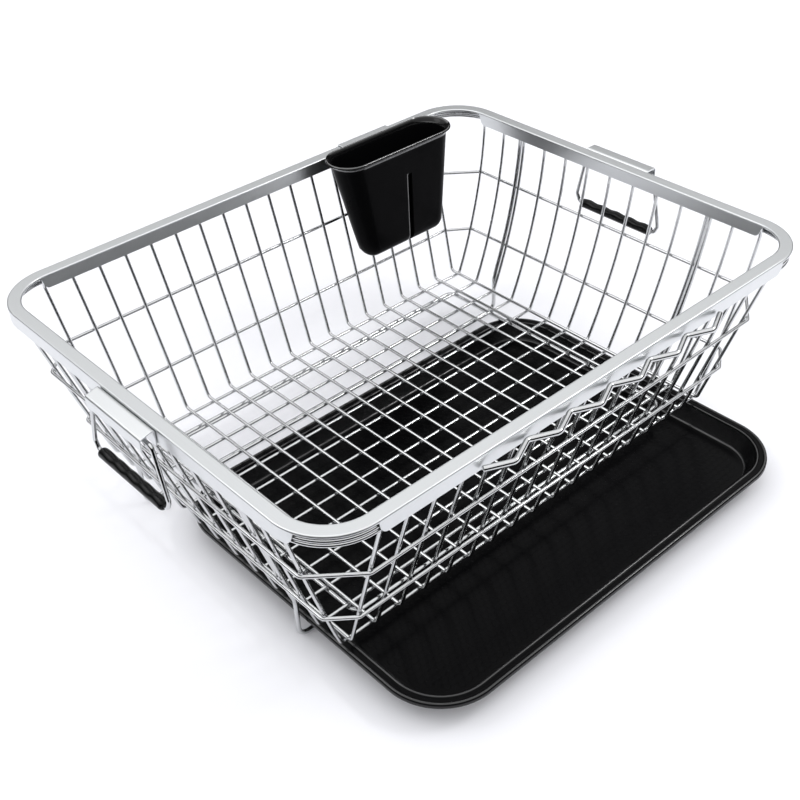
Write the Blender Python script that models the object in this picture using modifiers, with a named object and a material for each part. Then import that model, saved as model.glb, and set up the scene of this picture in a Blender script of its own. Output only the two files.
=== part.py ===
"""Dish drying rack: a wire basket in a folded rim, with a pull-out drip tray, a hook-on cutlery
cup and a folding carrying handle on each short end.

Metres, +Z up. X runs along the rack, Y across it and +Y is the cup's side. The basket is drawn
about its own centre on the table, and one empty then moves the whole rack so that the origin is
the middle of its footprint.
"""
import bpy
import bmesh
from math import atan, cos, pi, sin, tan
from mathutils import Vector

GAP = 0.0003                # left between pieces that are welded or clipped together
MERGE = 0.00001             # points closer than this are one point

# Folded rim
RIM_LENGTH = 0.520
RIM_WIDTH = 0.412
RIM_TOP = 0.188
RIM_BAND = 0.0112           # width of the top plate
RIM_DEPTH = 0.012           # height of both flanges
RIM_SHEET = 0.0008
RIM_CORNER = 0.047          # outer corner radius
RIM_END_DEPTH = 0.006       # flange height at its rounded end, just round the corner

# Three wires stacked inside the rim
RIM_WIRE = 0.0032
RIM_WIRE_INSET = 0.0028
RIM_WIRE_Z = {"upper": 0.1853, "middle": 0.1818, "lower": 0.1783}

# Basket wires
WIRE = 0.003
CROSS_COUNT = 18
CROSS_PITCH = (0.02373, 0.02518)    # at the floor and at the top of the back wall
CROSS_FRONT_PITCH = 0.0243          # at the top of the front wall
LONG_COUNT = 13
LONG_PITCH = (0.0248, 0.0266)
FLOOR_Z = 0.031                     # where the walls start
CROSS_FLOOR_Z = 0.0312
LONG_FLOOR_Z = 0.0279
WALL_TOP_Z = 0.175
WIRE_END_Z = 0.184
WALL_X = (0.2082, 0.2534)           # half length at the floor and at the wall's top
WALL_Y = (0.1544, 0.1996)           # half width at the same heights
END_BOW = {-1: 0.001, 1: 0.0065}    # how far the left and the right end wall bow out
BOW_LOW_Z = 0.045                   # below this height the end walls are straight
WIRE_BEND = 0.005
HOOP_Z = {"upper": 0.1262, "lower": 0.0699}
HOOP_OFFSET = 0.0033
HOOP_CORNER_MARGIN = 0.002

# Wires under the floor
FOOT_WIRE = 0.004
FOOT_BESIDE = 4                     # pitches from the centre line to the wire it stands beside
FOOT_SIDE_GAP = 0.0043
FOOT_INSET = 0.0007
FOOT_BOW_LOW_Z = 0.048
LEG_X = 0.2115
LEG_TOP_Z = 0.038
FOOT_BEND = 0.009
FRAME_X = 0.1788
FRAME_Y = 0.132
FRAME_Z = 0.0241
FRAME_BEND = 0.008

# Zigzag plate rest on the front of the rim
REST_WIRE = 0.0045
REST_Z = 0.179
REST_STEP = 0.0425
REST_TEETH = 6
REST_GAP = 0.0026                   # from the rim's face to the wire's centre line
REST_DEPTH = 0.0097
REST_BEND = 0.006

# Carrying handles
BRACKET_WIDTH = 0.070
BRACKET_SHEET = 0.001
BRACKET_REACH = 0.013
BRACKET_LEG_Z = 0.174
BRACKET_TOP_Z = 0.188
BRACKET_EDGE_Z = 0.1847
BRACKET_LIP_Z = 0.1755
BAIL_WIRE = 0.0035
PIVOT_X = 0.2668
PIVOT_Z = 0.179
BAIL_END = 0.020                    # the turned-in end, from the handle's middle
BAIL_SHOULDER = 0.0385
BAIL_ELBOW = (0.048, 0.044)         # half width and drop of the widest point
BAIL_FOOT = (0.0445, 0.0515)
BAIL_BEND = 0.004
GRIP_LENGTH = 0.082
GRIP_RADIUS = 0.0045
GRIP_WAVE = 0.0005
GRIP_LOBES = 5
GRIP_BORE = 0.00215
GRIP_STEPS = 12

# Cutlery cup: its mouth and its foot as (x from, x to, y from, y to)
CUP_LIP = (0.0625, 0.2055, 0.146, 0.1905)
CUP_MOUTH = (0.0675, 0.2005, 0.1483, 0.1883)
CUP_FOOT = (0.088, 0.186, 0.1463, 0.1705)
CUP_LIP_Z = (0.1935, 0.195)         # edge and top of the lip
CUP_MOUTH_Z = 0.190                 # where the wall starts to flare into the lip
CUP_FOOT_Z = 0.092
CUP_ROUND = 0.010                   # radius round the foot
CUP_WALL = 0.0016
CUP_LIP_EDGE = 0.0008               # how far the top of the lip is set in from its outline
SLOT_WIDTH = 0.0055
SLOT_X = 0.1405
SLOT_TOP = 0.166
SLOT_CUT = (0.014, 0.002)           # the cutter's depth and how far it reaches below the cup
CUP_RINGS_Z = (0.165, 0.140)         # heights of the loops between the lip and the foot
CUP_END_FLAT = 0.0001               # keeps the round ends from closing to a point

# The cup's hook
HOOK_X = (0.103, 0.163)
HOOK_SHEET = 0.001
HOOK_IN_Y = 0.1896
HOOK_OUT_Y = RIM_WIDTH / 2 + GAP
HOOK_Z = RIM_TOP + GAP
HOOK_LEG_Z = 0.162
HOOK_LIP_Z = 0.176

# Drip tray
TRAY_LENGTH = 0.4150
TRAY_WIDTH = 0.3175
TRAY_X = 0.0012                     # it stands a little to the right between the legs
TRAY_Y = -0.08875                   # how far it stands pulled out
TRAY_BASE_Z = 0.0043
TRAY_TOP_Z = 0.0218
TRAY_CORNER = 0.050
TRAY_WALL = 0.0018
TRAY_BAND = 0.008                   # width of the flat rim
TRAY_SLOPE = 0.009                  # how far the wall leans in
TRAY_HEM = 0.004
TRAY_EDGE = ((0.0006, 0.0008), (0.0016, 0.0))   # rounding of the hem: (inset, drop)
TRAY_LEDGE = (0.0015, 0.0012)       # rounding between the flat rim and the wall
TRAY_FOOT = (0.003, 0.002)          # chamfer between the wall and the floor

REACH_FRONT = TRAY_Y - TRAY_WIDTH / 2
REACH_BACK = HOOK_OUT_Y + HOOK_SHEET
ORIGIN_SHIFT = -(REACH_FRONT + REACH_BACK) / 2


def clear_scene():
    for obj in list(bpy.data.objects):
        bpy.data.objects.remove(obj, do_unlink=True)


def new_collection(name):
    collection = bpy.data.collections.new(name)
    bpy.context.scene.collection.children.link(collection)
    return collection


def new_material(name, color, roughness, metallic):
    material = bpy.data.materials.new(name)
    material.use_nodes = True
    shader = material.node_tree.nodes["Principled BSDF"]
    shader.inputs["Base Color"].default_value = (*color, 1.0)
    shader.inputs["Roughness"].default_value = roughness
    shader.inputs["Metallic"].default_value = metallic
    return material


def new_empty(name, parent, location):
    empty = bpy.data.objects.new(name, None)
    RACK.objects.link(empty)
    empty.parent = parent
    empty.location = location
    return empty


def place(name, data, material, parent, location=(0, 0, 0)):
    obj = bpy.data.objects.new(name, data)
    RACK.objects.link(obj)
    data.materials.append(material)
    obj.parent = parent
    obj.location = location
    return obj


def fillet(points, radius, closed=False, steps=3):
    """Round every corner of a polyline with an arc of the given radius."""
    points = [Vector(p) for p in points]
    count = len(points)
    path = []
    for k, corner in enumerate(points):
        if not closed and k in (0, count - 1):
            path.append(corner)
            continue
        back = (points[k - 1] - corner).normalized()
        ahead = (points[(k + 1) % count] - corner).normalized()
        half = back.angle(ahead) / 2
        bisector = (back + ahead).normalized()
        center = corner + bisector * (radius / sin(half))
        start = corner + back * (radius / tan(half)) - center
        turn = pi - 2 * half
        side = (-back - start.normalized() * (-back).dot(start.normalized())).normalized()
        for n in range(steps):
            angle = turn * n / (steps - 1)
            path.append(center + radius * (start.normalized() * cos(angle) + side * sin(angle)))
    return path


def wire(name, path, diameter, parent, closed=False, tilt=0.0):
    """A round wire along a path, with flat closed ends."""
    curve = bpy.data.curves.new(name, "CURVE")
    curve.dimensions = "3D"
    curve.bevel_depth = diameter / 2
    curve.bevel_resolution = 2
    curve.use_fill_caps = True
    spline = curve.splines.new("POLY")
    spline.points.add(len(path) - 1)
    for point, position in zip(spline.points, path):
        point.co = (*position, 1.0)
        point.tilt = tilt
    spline.use_cyclic_u = closed
    spline.use_smooth = True
    obj = place(name, curve, POLISHED, parent)
    weld = obj.modifiers.new("Weld caps", "WELD")
    weld.merge_threshold = MERGE
    return obj


def mesh_object(name, mesh_data, material, parent, location=(0, 0, 0)):
    mesh = bpy.data.meshes.new(name)
    mesh_data.to_mesh(mesh)
    mesh_data.free()
    return place(name, mesh, material, parent, location)


def solidify(obj, thickness):
    """Give an open surface its thickness, on the side away from its normals."""
    modifier = obj.modifiers.new("Sheet", "SOLIDIFY")
    modifier.thickness = thickness
    modifier.offset = -1.0
    modifier.use_even_offset = True


def rounded_loop(x_range, y_range, radius, steps):
    """Points anticlockwise round a rectangle with round corners, from its lower right corner."""
    loop = []
    corners = ((x_range[1], y_range[0], -1, 1), (x_range[1], y_range[1], -1, -1),
               (x_range[0], y_range[1], 1, -1), (x_range[0], y_range[0], 1, 1))
    for quarter, (x, y, inward_x, inward_y) in enumerate(corners):
        center = (x + inward_x * radius, y + inward_y * radius)
        for n in range(steps + 1):
            angle = pi / 2 * (quarter - 1 + n / steps)
            loop.append((center[0] + radius * cos(angle), center[1] + radius * sin(angle)))
    return loop


def loft(bm, sections):
    """Join loops of equal length, each given as (points, z), into one open surface.

    The loops run from the outermost inwards, and the surface faces up.
    """
    rings = [[bm.verts.new((x, y, z)) for x, y in points] for points, z in sections]
    for outer, inner in zip(rings, rings[1:]):
        for k in range(len(outer)):
            n = (k + 1) % len(outer)
            bm.faces.new((outer[n], inner[n], inner[k], outer[k]))
    return rings


def shell(name, sections, thickness, parent, location=(0, 0, 0)):
    """An open-topped moulding: its upper surface is lofted and the wall grows away from it."""
    bm = bmesh.new()
    rings = loft(bm, sections)
    bm.faces.new(rings[-1])
    obj = mesh_object(name, bm, BLACK, parent, location)
    solidify(obj, thickness)
    return obj


def blend(a, b, t):
    return a + (b - a) * t


def wall_height(z):
    """0 at the foot of the walls and 1 at their top."""
    return (z - FLOOR_Z) / (WALL_TOP_Z - FLOOR_Z)


def wall_x(z, end):
    """Half length at a height, towards the left end (-1) or the right one (1)."""
    t = wall_height(z)
    return blend(*WALL_X, t) + 4 * END_BOW[end] * t * (1 - t)


def wall_y(z):
    return blend(*WALL_Y, wall_height(z))


def cross_x(index, z, side=1):
    """Where a cross wire stands, on the front wall (side -1) or the back one (side 1)."""
    top_pitch = CROSS_PITCH[1] if side > 0 else CROSS_FRONT_PITCH
    return (index - (CROSS_COUNT + 1) / 2) * blend(CROSS_PITCH[0], top_pitch, wall_height(z))


def long_y(index, z):
    return ((LONG_COUNT + 1) / 2 - index) * blend(*LONG_PITCH, wall_height(z))


def rim_channel():
    """Folded sheet: a continuous top plate, and flanges that stop just round each corner."""
    steps = 8
    half_x, half_y = RIM_LENGTH / 2, RIM_WIDTH / 2
    inner_x, inner_y = half_x - RIM_BAND, half_y - RIM_BAND
    bm = bmesh.new()
    outer_loop = rounded_loop((-half_x, half_x), (-half_y, half_y), RIM_CORNER, steps)
    inner_loop = rounded_loop((-inner_x, inner_x), (-inner_y, inner_y),
                              RIM_CORNER - RIM_BAND, steps)
    outer, inner = loft(bm, [(outer_loop, RIM_TOP), (inner_loop, RIM_TOP)])
    depths = [RIM_END_DEPTH if n in (1, steps - 1) else RIM_DEPTH if n in (0, steps) else 0
              for n in range(steps + 1)] * 4
    count = len(outer)
    for ring, outward in ((outer, True), (inner, False)):
        lower = [bm.verts.new(v.co - Vector((0, 0, d))) if d else None
                 for v, d in zip(ring, depths)]
        for k in range(count):
            n = (k + 1) % count
            if lower[k] and lower[n]:
                face = (lower[k], lower[n], ring[n], ring[k])
                bm.faces.new(face if outward else reversed(face))
    solidify(mesh_object("rim_channel", bm, SATIN, ROOT), RIM_SHEET)


def rim_wires():
    half_x = RIM_LENGTH / 2 - RIM_WIRE_INSET
    half_y = RIM_WIDTH / 2 - RIM_WIRE_INSET
    loop = rounded_loop((-half_x, half_x), (-half_y, half_y), RIM_CORNER - RIM_WIRE_INSET, 6)
    for place_name, z in RIM_WIRE_Z.items():
        wire("rim_wire_" + place_name, [(x, y, z) for x, y in loop], RIM_WIRE, ROOT, closed=True)


def cross_wires():
    """U-shaped wires across the rack, on top of the long ones at the floor."""
    for index in range(1, CROSS_COUNT + 1):
        floor_x = cross_x(index, FLOOR_Z)
        halves = []
        for side in (1, -1):
            top_x = cross_x(index, WALL_TOP_Z, side)
            top = (top_x, side * WALL_Y[1], WALL_TOP_Z)
            halves.append([(top_x, side * WALL_Y[1], WIRE_END_Z)]
                          + fillet([top, (floor_x, side * WALL_Y[0], CROSS_FLOOR_Z),
                                    (floor_x, 0, CROSS_FLOOR_Z)], WIRE_BEND)[:-1])
        wire(f"cross_wire_{index:02d}", halves[0] + halves[1][::-1], WIRE, ROOT)


def end_wall_side(end, y_of, inset, z_low):
    """Points down the left (-1) or right (1) end wall, from the rim to the height z_low."""
    heights = [WIRE_END_Z, WALL_TOP_Z] + [blend(WALL_TOP_Z, z_low, k / 4) for k in range(1, 5)]
    return [Vector((end * (wall_x(min(z, WALL_TOP_Z), end) - inset), y_of(min(z, WALL_TOP_Z)), z))
            for z in heights]


def long_wires():
    """U-shaped wires along the rack, whose ends bow out."""
    for index in range(1, LONG_COUNT + 1):
        floor_y = long_y(index, FLOOR_Z)
        halves = []
        for end in (1, -1):
            side = end_wall_side(end, lambda z: long_y(index, z), 0.0, BOW_LOW_Z)
            slope = (end * side[-1].x - WALL_X[0]) / (BOW_LOW_Z - FLOOR_Z)
            foot_x = end * (WALL_X[0] - (FLOOR_Z - LONG_FLOOR_Z) * slope)
            halves.append(side + fillet([side[-1], (foot_x, floor_y, LONG_FLOOR_Z),
                                         (0, floor_y, LONG_FLOOR_Z)], WIRE_BEND)[1:-1])
        wire(f"long_wire_{index:02d}", halves[0] + halves[1][::-1], WIRE, ROOT)


def end_lean(z, end):
    return atan((wall_x(z + WIRE, end) - wall_x(z, end)) / WIRE)


def hoop_wires():
    """Closed hoops round the outside of the walls, cut straight across each corner."""
    for place_name, z in HOOP_Z.items():
        lean_y = atan((WALL_Y[1] - WALL_Y[0]) / (WALL_TOP_Z - FLOOR_Z))
        out_y = wall_y(z) + HOOP_OFFSET / cos(lean_y)
        last_y = long_y(1, z) + HOOP_CORNER_MARGIN
        back_x = cross_x(CROSS_COUNT, z) + HOOP_CORNER_MARGIN
        front_x = cross_x(CROSS_COUNT, z, -1) + HOOP_CORNER_MARGIN
        left_x, right_x = (wall_x(z, end) + HOOP_OFFSET / cos(end_lean(z, end)) for end in (-1, 1))
        corners = [(right_x, -last_y), (right_x, last_y), (back_x, out_y), (-back_x, out_y),
                   (-left_x, last_y), (-left_x, -last_y), (-front_x, -out_y), (front_x, -out_y)]
        path = fillet([(x, y, z) for x, y in corners], WIRE_BEND, closed=True, steps=2)
        wire("hoop_wire_" + place_name, path, WIRE, ROOT, closed=True)


def foot_wires():
    """Thicker wires down the end walls that run along the table under the tray."""
    runner_z = FOOT_WIRE / 2 * cos(pi / 8)
    for place_name, side_sign in (("front", -1), ("back", 1)):
        def beside(z):
            return side_sign * (FOOT_BESIDE * blend(*LONG_PITCH, wall_height(z)) + FOOT_SIDE_GAP)
        leg_y = beside(FLOOR_Z)
        halves = []
        for end in (1, -1):
            leg_x = end * LEG_X
            halves.append(end_wall_side(end, beside, FOOT_INSET, FOOT_BOW_LOW_Z)
                          + fillet([(leg_x, leg_y, LEG_TOP_Z), (leg_x, leg_y, runner_z),
                                    (0, leg_y, runner_z)], FOOT_BEND, steps=4)[:-1])
        wire("foot_wire_" + place_name, halves[0] + halves[1][::-1], FOOT_WIRE, ROOT, tilt=pi / 8)


def floor_frame_ring():
    corners = [(FRAME_X, -FRAME_Y), (FRAME_X, FRAME_Y), (-FRAME_X, FRAME_Y), (-FRAME_X, -FRAME_Y)]
    path = fillet([(x, y, FRAME_Z) for x, y in corners], FRAME_BEND, closed=True, steps=4)
    wire("floor_frame_ring", path, FOOT_WIRE, ROOT, closed=True)


def plate_rest_wire():
    near = -(RIM_WIDTH / 2 + REST_GAP)
    corners = []
    for k in range(2 * REST_TEETH + 1):
        x = (k / 2 - REST_TEETH / 2) * REST_STEP
        corners.append((x, near - (k % 2) * REST_DEPTH, REST_Z))
    wire("plate_rest_wire", fillet(corners, REST_BEND), REST_WIRE, ROOT)


def handle_bracket(name, side):
    """Folded strip: a leg on the rim, a sloping top and an outer lip, open at both ends."""
    near = RIM_LENGTH / 2 + GAP
    far = RIM_LENGTH / 2 + BRACKET_REACH
    profile = [(near, BRACKET_LEG_Z), (near, BRACKET_TOP_Z), (far, BRACKET_EDGE_Z),
               (far, BRACKET_LIP_Z)]
    bm = bmesh.new()
    ends = [[bm.verts.new((side * x, y, z)) for x, z in profile]
            for y in (-BRACKET_WIDTH / 2, BRACKET_WIDTH / 2)]
    for k in range(len(profile) - 1):
        face = (ends[0][k], ends[1][k], ends[1][k + 1], ends[0][k + 1])
        bm.faces.new(face if side < 0 else reversed(face))
    solidify(mesh_object(name, bm, SATIN, ROOT), BRACKET_SHEET)


def handle_bail(name, pivot):
    """Bent wire whose ends turn in along the pivot axis."""
    half = [(0, BAIL_END, 0), (0, BAIL_SHOULDER, 0), (0, BAIL_ELBOW[0], -BAIL_ELBOW[1]),
            (0, BAIL_FOOT[0], -BAIL_FOOT[1])]
    other = [(x, -y, z) for x, y, z in reversed(half)]
    wire(name, fillet(half + other, BAIL_BEND), BAIL_WIRE, pivot)


def handle_grip(name, pivot):
    """Turned sleeve with a wavy outside, on the bar of the bail."""
    samples = 4 * GRIP_LOBES
    outside = []
    for k in range(samples + 1):
        t = k / samples
        swell = -cos(2 * pi * GRIP_LOBES * t)
        radius = GRIP_RADIUS + GRIP_WAVE * swell
        outside.append((radius, GRIP_LENGTH * (0.5 - t)))
    bm = bmesh.new()
    profile = outside + [(GRIP_BORE, -GRIP_LENGTH / 2), (GRIP_BORE, GRIP_LENGTH / 2)]
    verts = [bm.verts.new((x, 0, z)) for x, z in profile]
    for k in range(len(verts)):
        bm.edges.new((verts[k], verts[(k + 1) % len(verts)]))
    obj = mesh_object(name, bm, BLACK, pivot, (0, 0, -BAIL_FOOT[1]))
    obj.rotation_euler = (pi / 2, 0, 0)
    screw = obj.modifiers.new("Turn", "SCREW")
    screw.axis = "Z"
    screw.steps = screw.render_steps = GRIP_STEPS
    screw.use_merge_vertices = True
    screw.merge_threshold = MERGE
    screw.use_normal_calculate = False


def handle(side_name, side):
    handle_bracket("handle_bracket_" + side_name, side)
    pivot = new_empty("handle_pivot_" + side_name, ROOT, (side * PIVOT_X, 0, PIVOT_Z))
    handle_bail("handle_bail_" + side_name, pivot)
    handle_grip("handle_grip_" + side_name, pivot)


def cup_section(frame, inset=0.0, steps=7):
    """A loop with round ends inside the given rectangle."""
    x_range = (frame[0] + inset, frame[1] - inset)
    y_range = (frame[2] + inset, frame[3] - inset)
    return rounded_loop(x_range, y_range, (y_range[1] - y_range[0]) / 2 - CUP_END_FLAT,
                        steps)


def cutlery_cup():
    """Tapered shell with a flared lip, a rounded foot and a drain slot in its front."""
    def body(z):
        t = (CUP_MOUTH_Z - z) / (CUP_MOUTH_Z - CUP_FOOT_Z)
        return [blend(a, b, t) for a, b in zip(CUP_MOUTH, CUP_FOOT)]

    sections = [(cup_section(CUP_LIP), CUP_LIP_Z[0]),
                (cup_section(CUP_LIP, CUP_LIP_EDGE), CUP_LIP_Z[1]),
                (cup_section(CUP_LIP, CUP_WALL), CUP_LIP_Z[1])]
    for z in (CUP_MOUTH_Z, *CUP_RINGS_Z):
        sections.append((cup_section(body(z), CUP_WALL), z))
    floor_z = CUP_FOOT_Z + CUP_WALL
    for n in range(4):
        angle = pi / 2 * n / 3
        z = floor_z + CUP_ROUND * (1 - sin(angle))
        sections.append((cup_section(body(z), CUP_WALL + CUP_ROUND * (1 - cos(angle))), z))
    cup = shell("cutlery_cup", sections, CUP_WALL, CUP_ORIGIN)

    cutter_data = bmesh.new()
    bmesh.ops.create_cube(cutter_data, size=1.0)
    low = CUP_FOOT_Z - SLOT_CUT[1]
    bmesh.ops.scale(cutter_data, vec=(SLOT_WIDTH, SLOT_CUT[0], SLOT_TOP - low),
                    verts=cutter_data.verts)
    mesh = bpy.data.meshes.new("cup_slot_cutter")
    cutter_data.to_mesh(mesh)
    cutter_data.free()
    cutter = bpy.data.objects.new("cup_slot_cutter", mesh)
    CUTTERS.objects.link(cutter)
    cutter.parent = CUP_ORIGIN
    cutter.location = (SLOT_X, CUP_MOUTH[2], (SLOT_TOP + low) / 2)
    cutter.hide_render = True
    cutter.display_type = "WIRE"
    slot = cup.modifiers.new("Drain slot", "BOOLEAN")
    slot.operation = "DIFFERENCE"
    slot.object = cutter


def cutlery_cup_hook():
    """Bent strip from the back of the cup over the rim."""
    profile = [(HOOK_IN_Y, HOOK_LEG_Z), (HOOK_IN_Y, HOOK_Z + HOOK_SHEET),
               (HOOK_OUT_Y + HOOK_SHEET, HOOK_Z + HOOK_SHEET), (HOOK_OUT_Y + HOOK_SHEET, HOOK_LIP_Z)]
    bm = bmesh.new()
    ends = [[bm.verts.new((x, y, z)) for y, z in profile] for x in HOOK_X]
    for k in range(len(profile) - 1):
        bm.faces.new((ends[0][k + 1], ends[0][k], ends[1][k], ends[1][k + 1]))
    solidify(mesh_object("cutlery_cup_hook", bm, SATIN, CUP_ORIGIN), HOOK_SHEET)


def drip_tray():
    """Moulded tray: a hemmed flat rim, a leaning wall and a flat floor."""
    half_x, half_y = TRAY_LENGTH / 2, TRAY_WIDTH / 2

    def section(inset):
        return rounded_loop((-half_x + inset, half_x - inset), (-half_y + inset, half_y - inset),
                            TRAY_CORNER - inset, 7)

    wall_foot = TRAY_BAND + TRAY_SLOPE
    floor_z = TRAY_BASE_Z + TRAY_WALL
    sections = [(section(0.0), TRAY_TOP_Z - TRAY_HEM)]
    sections += [(section(inset), TRAY_TOP_Z - drop) for inset, drop in TRAY_EDGE]
    sections += [(section(TRAY_BAND), TRAY_TOP_Z),
                 (section(TRAY_BAND + TRAY_LEDGE[0]), TRAY_TOP_Z - TRAY_LEDGE[1]),
                 (section(wall_foot), floor_z + TRAY_FOOT[1]),
                 (section(wall_foot + TRAY_FOOT[0]), floor_z)]
    shell("drip_tray", sections, TRAY_WALL, ROOT, (TRAY_X, TRAY_Y, 0))


clear_scene()
RACK = new_collection("dish_drying_rack")
CUTTERS = new_collection("cutters")
POLISHED = new_material("polished_wire", (0.62, 0.62, 0.63), 0.12, 1.0)
SATIN = new_material("satin_sheet", (0.68, 0.68, 0.69), 0.32, 1.0)
BLACK = new_material("black_plastic", (0.012, 0.012, 0.013), 0.35, 0.0)
ROOT = new_empty("rack_origin", None, (0, ORIGIN_SHIFT, 0))
CUP_ORIGIN = new_empty("cup_lift", ROOT, (0, 0, 0))

rim_channel()
rim_wires()
cross_wires()
long_wires()
hoop_wires()
foot_wires()
floor_frame_ring()
plate_rest_wire()
handle("left", -1)
handle("right", 1)
cutlery_cup()
cutlery_cup_hook()
drip_tray()
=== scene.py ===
import math

import bpy
import numpy as np
from mathutils import Matrix, Vector


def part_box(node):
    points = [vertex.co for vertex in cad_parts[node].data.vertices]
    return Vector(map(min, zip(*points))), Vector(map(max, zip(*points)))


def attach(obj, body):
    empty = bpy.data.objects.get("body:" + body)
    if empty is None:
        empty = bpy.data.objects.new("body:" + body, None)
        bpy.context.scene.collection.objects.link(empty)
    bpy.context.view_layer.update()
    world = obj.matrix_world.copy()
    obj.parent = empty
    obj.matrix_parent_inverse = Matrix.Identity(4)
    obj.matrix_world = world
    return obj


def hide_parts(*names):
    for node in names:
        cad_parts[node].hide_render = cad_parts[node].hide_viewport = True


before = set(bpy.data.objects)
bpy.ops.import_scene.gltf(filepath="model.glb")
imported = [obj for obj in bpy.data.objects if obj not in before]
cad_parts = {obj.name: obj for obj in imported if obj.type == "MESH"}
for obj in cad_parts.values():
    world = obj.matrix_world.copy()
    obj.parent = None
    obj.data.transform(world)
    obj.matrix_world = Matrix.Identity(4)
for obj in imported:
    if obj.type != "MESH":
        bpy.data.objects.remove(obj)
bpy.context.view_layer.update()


# ---- Cross wires ------------------------------------------------------------------------------
# Eighteen lengths of hard-drawn stainless wire, each bent into a U. They make the floor and the
# two long walls, fan out slightly on the way up, and end inside the folded rim.

MM = 0.001
rim_low, rim_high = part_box("rim_channel")
BASKET_Y = (rim_low.y + rim_high.y) / 2      # the basket's middle; the tray moves the origin off it
CROSS_NAMES = [f"cross_wire_{n:02d}" for n in range(1, 19)]
BASKET_WIRE = 3.0 * MM
CROSS_FLOOR_PITCH = 23.73 * MM
CROSS_TOP_PITCH = {1: 25.18 * MM, -1: 24.3 * MM}     # on the back wall and on the front one
FLOOR_Z, WALL_TOP_Z, WIRE_END_Z = 31 * MM, 175 * MM, 184 * MM
CROSS_FLOOR_Z = 31.2 * MM
WALL_Y = (154.4 * MM, 199.6 * MM)
FLOOR_BEND = 5 * MM


def srgb(hex_colour):
    """Linear RGBA of an sRGB hex colour."""
    value = np.array([int(hex_colour[n:n + 2], 16) for n in (1, 3, 5)]) / 255
    low = value / 12.92
    high = ((value + 0.055) / 1.055) ** 2.4
    return (*np.where(value <= 0.04045, low, high), 1.0)


def new_material(name, **sockets):
    """A Principled material; each keyword sets the shader socket of that name."""
    material = bpy.data.materials.new(name)
    material.use_nodes = True
    shader = material.node_tree.nodes["Principled BSDF"]
    for key, value in sockets.items():
        shader.inputs[key.replace("_", " ")].default_value = value
    return material


def add_node(material, kind, settings=None, links=None, into=None):
    """Adds a node, gives it its settings, and links inputs from (node, output) pairs.

    into names an input of the Principled shader that takes the node's first output.
    """
    tree = material.node_tree
    node = tree.nodes.new(kind)
    for key, value in (settings or {}).items():
        if isinstance(key, int) or key in node.inputs:
            node.inputs[key].default_value = value
        else:
            setattr(node, key, value)
    for key, (source, output) in (links or {}).items():
        tree.links.new(source.outputs[output], node.inputs[key])
    if into:
        tree.links.new(node.outputs[0], tree.nodes["Principled BSDF"].inputs[into])
    return node


def mix(a, b, t):
    return a + (b - a) * t


def wall_height(z):
    """0 at the foot of the walls and 1 at their top."""
    return (z - FLOOR_Z) / (WALL_TOP_Z - FLOOR_Z)


def bent_path(corners, bend, closed=False, steps=9):
    """Straight runs between corners, each corner rounded by an arc of the bend radius."""
    corners = np.asarray(corners, float)
    path = []
    for k, corner in enumerate(corners):
        if not closed and k in (0, len(corners) - 1):
            path.append(corner[None])
            continue
        back, ahead = corners[k - 1] - corner, corners[(k + 1) % len(corners)] - corner
        back, ahead = back / np.linalg.norm(back), ahead / np.linalg.norm(ahead)
        half = np.arccos(np.clip(back @ ahead, -1, 1)) / 2
        middle = (back + ahead) / np.linalg.norm(back + ahead)
        centre = corner + middle * bend / np.sin(half)
        along = (ahead - back) / np.linalg.norm(ahead - back)
        turn = np.linspace(-(np.pi / 2 - half), np.pi / 2 - half, steps)[:, None]
        path.append(centre + bend * (-middle * np.cos(turn) + along * np.sin(turn)))
    return np.concatenate(path)


def drawn_wire(path, diameter, across, closed=False, sides=16):
    """A circle carried along a path, square to it, with slightly rounded ends.

    The circle stands on two directions: across with its part along the path taken out, and the
    one square to both. Returns its points, the metres along it and the metres round it.
    """
    path = np.asarray(path, float)
    if not closed:
        first, last = path[0] - path[1], path[-1] - path[-2]
        chamfer = diameter / 8
        first, last = first / np.linalg.norm(first), last / np.linalg.norm(last)
        path = np.concatenate([path[:1], path[:1] - first * chamfer, path[1:-1],
                               path[-1:] - last * chamfer, path[-1:]])
    ahead, behind = np.roll(path, -1, 0), np.roll(path, 1, 0)
    if not closed:
        ahead[-1], behind[0] = path[-1], path[0]
    tangent = ahead - behind
    tangent /= np.linalg.norm(tangent, axis=1, keepdims=True)
    side = across - tangent * (tangent @ np.asarray(across, float))[:, None]
    side /= np.linalg.norm(side, axis=1, keepdims=True)
    up = np.cross(tangent, side)
    radius = np.full(len(path), diameter / 2)
    if not closed:
        radius[[0, -1]] -= diameter / 8
    angle = np.linspace(0, 2 * np.pi, sides, endpoint=False)
    ring = side[:, None] * np.cos(angle)[:, None] + up[:, None] * np.sin(angle)[:, None]
    points = path[:, None] + ring * radius[:, None, None]
    length = np.concatenate([[0], np.cumsum(np.linalg.norm(np.diff(path, axis=0), axis=1))])
    return points, length, angle * diameter / 2


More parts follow.
